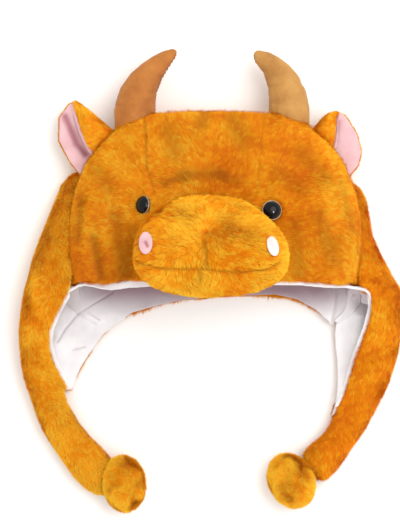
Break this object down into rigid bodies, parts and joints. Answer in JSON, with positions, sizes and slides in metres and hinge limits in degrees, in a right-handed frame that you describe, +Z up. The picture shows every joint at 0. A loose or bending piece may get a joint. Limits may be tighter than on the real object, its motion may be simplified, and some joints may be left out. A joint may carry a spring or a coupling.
{
  "type": "plush earflap hat",
  "caption": "Plush animal hat with stuffed horns, ears and muzzle, and long earflaps that end in pompoms, lying on its back.",
  "frame": {"origin": "on the surface that the hat lies on, in the flat back of the crown a little above the brow rim", "axes": "+Z up from that surface, through the muzzle; +Y from the brow rim to the horns; +X across the face to the hat's right side in the picture"},
  "size_m": [0.3622, 0.4401, 0.1482],
  "materials": {
    "plush": "golden orange plush pile",
    "lining": "smooth white brushed lining",
    "pink_cloth": "short-napped pink cloth",
    "suede": "tan cloth with a suede-like nap",
    "eye_plastic": "glossy black"
  },
  "bodies": {
    "root": {"crown_forehead": "plush", "crown_left": "plush", "crown_right": "plush", "crown_back": "plush", "crown_lining": "lining", "muzzle": "plush", "muzzle_lip": "plush", "nostril_left": "pink_cloth", "nostril_right": "pink_cloth", "eye_left": "eye_plastic", "eye_right": "eye_plastic", "horn_left": "suede", "horn_right": "suede", "ear_left": "plush", "ear_right": "plush", "ear_lining_left": "pink_cloth", "ear_lining_right": "pink_cloth", "earflap_left": "plush", "earflap_right": "plush", "earflap_lining_left": "lining", "earflap_lining_right": "lining", "pompom_left": "plush", "pompom_right": "plush"}
  },
  "joints": []
}
